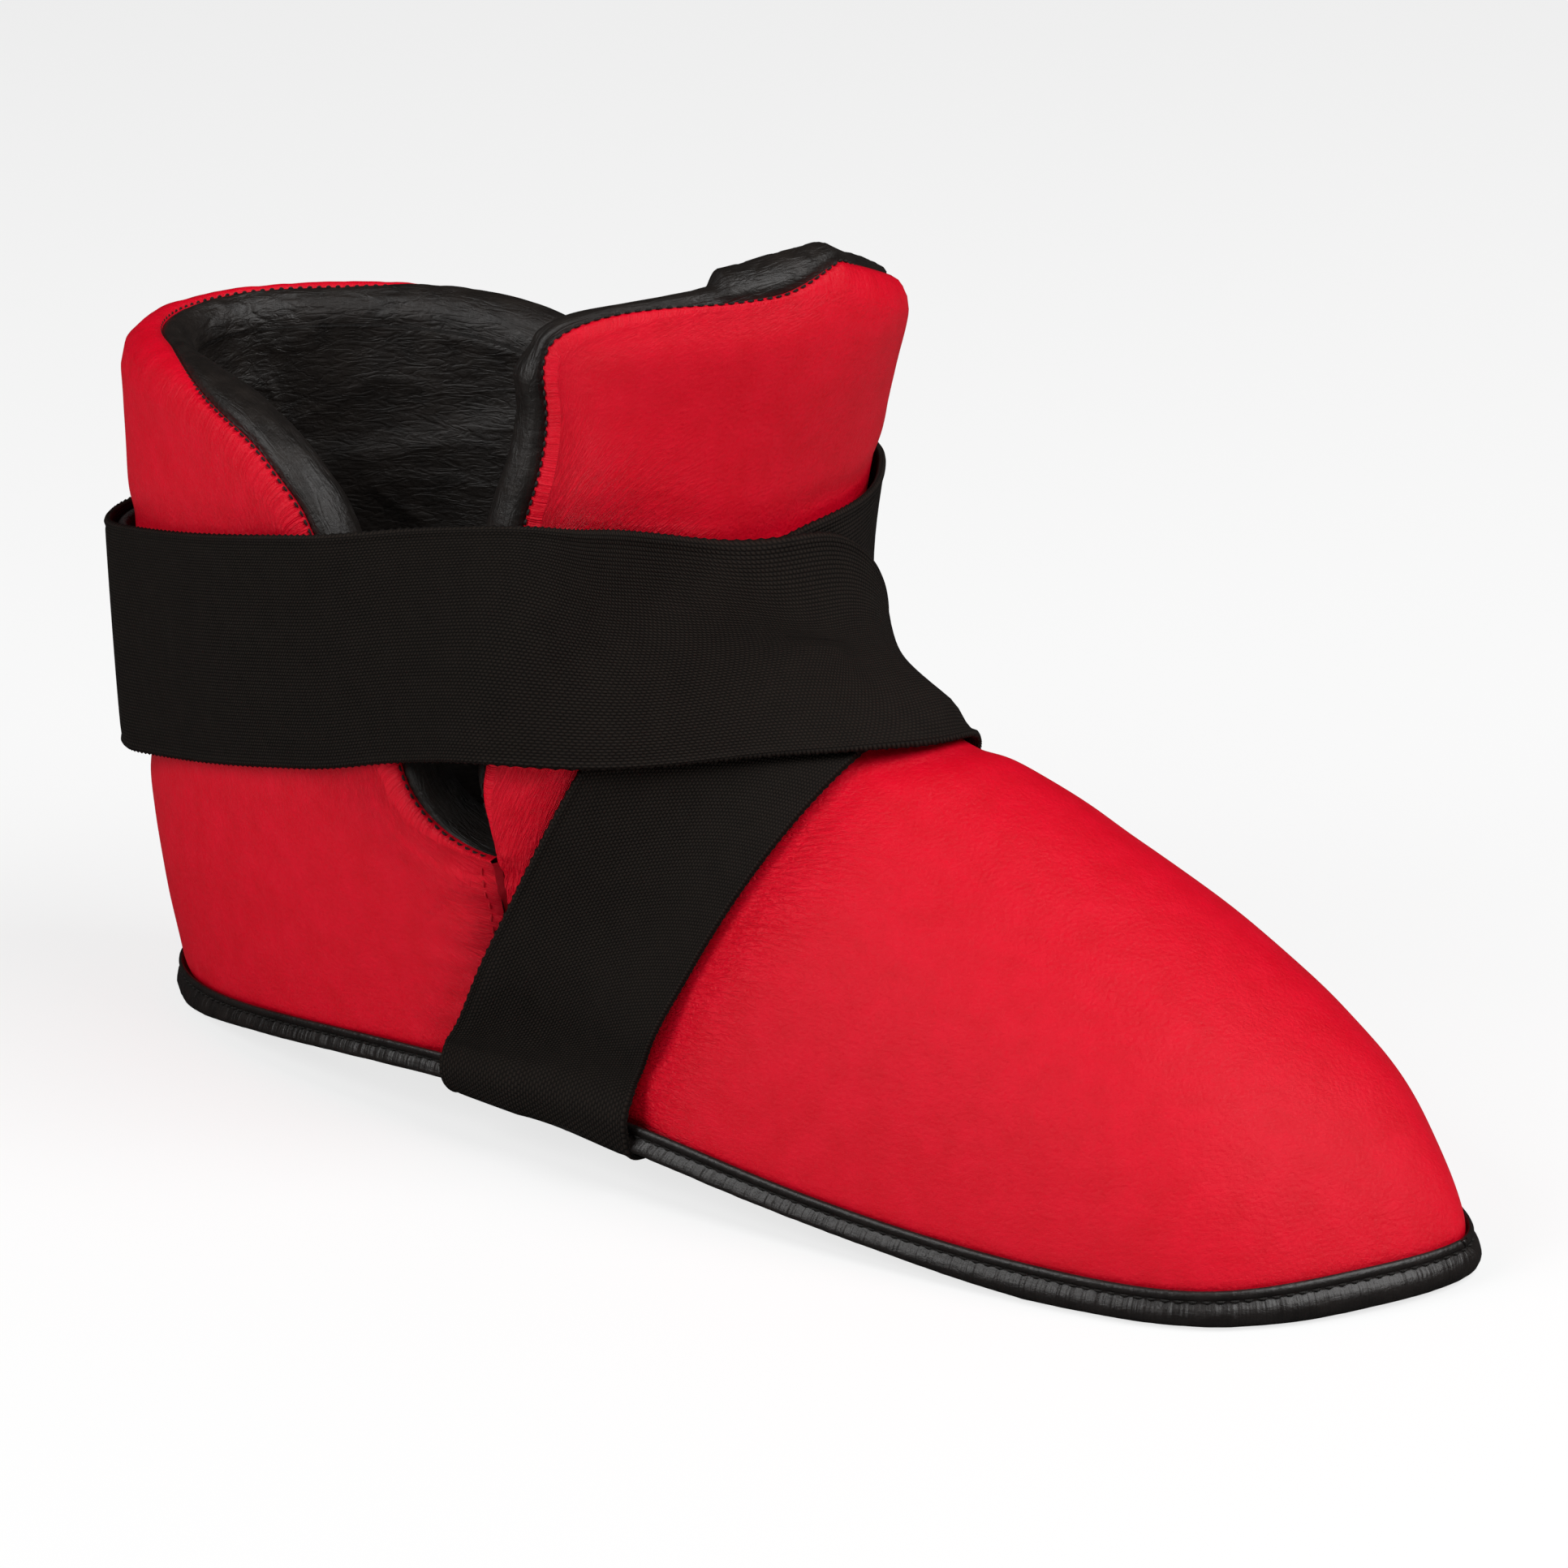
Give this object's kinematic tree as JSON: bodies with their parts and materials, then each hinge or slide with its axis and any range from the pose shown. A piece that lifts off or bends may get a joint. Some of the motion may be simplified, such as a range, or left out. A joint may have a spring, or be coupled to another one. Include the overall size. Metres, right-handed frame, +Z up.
{
  "type": "foot guard",
  "caption": "Open-soled padded foot guard for the right foot, with a tall tongue, a heel flap and crossed elastic straps closed by hook and loop behind the heel.",
  "frame": {"origin": "on the floor, under the middle of the boot's outline", "axes": "+X towards the toes, +Y towards the inner side of the right foot, +Z up"},
  "size_m": [0.3112, 0.1179, 0.1717],
  "materials": {
    "red_leather": "satin coated leather with a fine grain",
    "black_lining": "soft creased lining leather",
    "foam": "closed-cell foam",
    "binding": "smooth soft binding leather",
    "elastic": "woven elastic with knitted edges",
    "loop": "brushed loop pile",
    "hook": "moulded hook tape",
    "thread": "sewing thread"
  },
  "bodies": {
    "boot": {"vamp_cover": "red_leather", "vamp_foam": "foam", "vamp_lining": "black_lining", "collar_roll_lateral": "black_lining", "collar_roll_medial": "black_lining", "heel_cover": "red_leather", "heel_foam": "foam", "heel_lining": "black_lining", "heel_roll_lateral": "black_lining", "heel_roll_medial": "black_lining", "toe_binding": "binding", "heel_binding": "binding", "side_seam_lateral": "binding", "side_seam_medial": "binding", "under_band": "elastic", "upper_strap": "elastic", "lower_strap": "elastic", "loop_panel": "loop", "toe_band": "elastic", "toe_stitches": "thread", "heel_stitches": "thread", "panel_stitches": "thread"},
    "tongue": {"tongue_cover": "red_leather", "tongue_foam": "foam", "tongue_lining": "black_lining", "tongue_roll": "black_lining"},
    "heel_flap": {"flap_cover": "red_leather", "flap_foam": "foam", "flap_lining": "black_lining", "flap_roll": "black_lining"},
    "strap_end": {"strap_tail": "elastic", "hook_patch": "hook"}
  },
  "joints": [
    {"name": "tongue_flex", "type": "hinge", "parent": "boot", "child": "tongue", "pos_m": [0.012, 0.005, 0.1372], "axis": [0, 1, 0], "range_deg": [0, 25], "stiffness_Nm_per_rad": 2},
    {"name": "heel_flap_flex", "type": "hinge", "parent": "boot", "child": "heel_flap", "pos_m": [-0.148, 0.0006, 0.1027], "axis": [0, 1, 0], "range_deg": [-25, 0], "stiffness_Nm_per_rad": 1.5},
    {"name": "strap_peel", "type": "hinge", "parent": "boot", "child": "strap_end", "pos_m": [-0.1273, -0.0405, 0.0762], "axis": [0, 0, 1], "range_deg": [0, 100]}
  ]
}
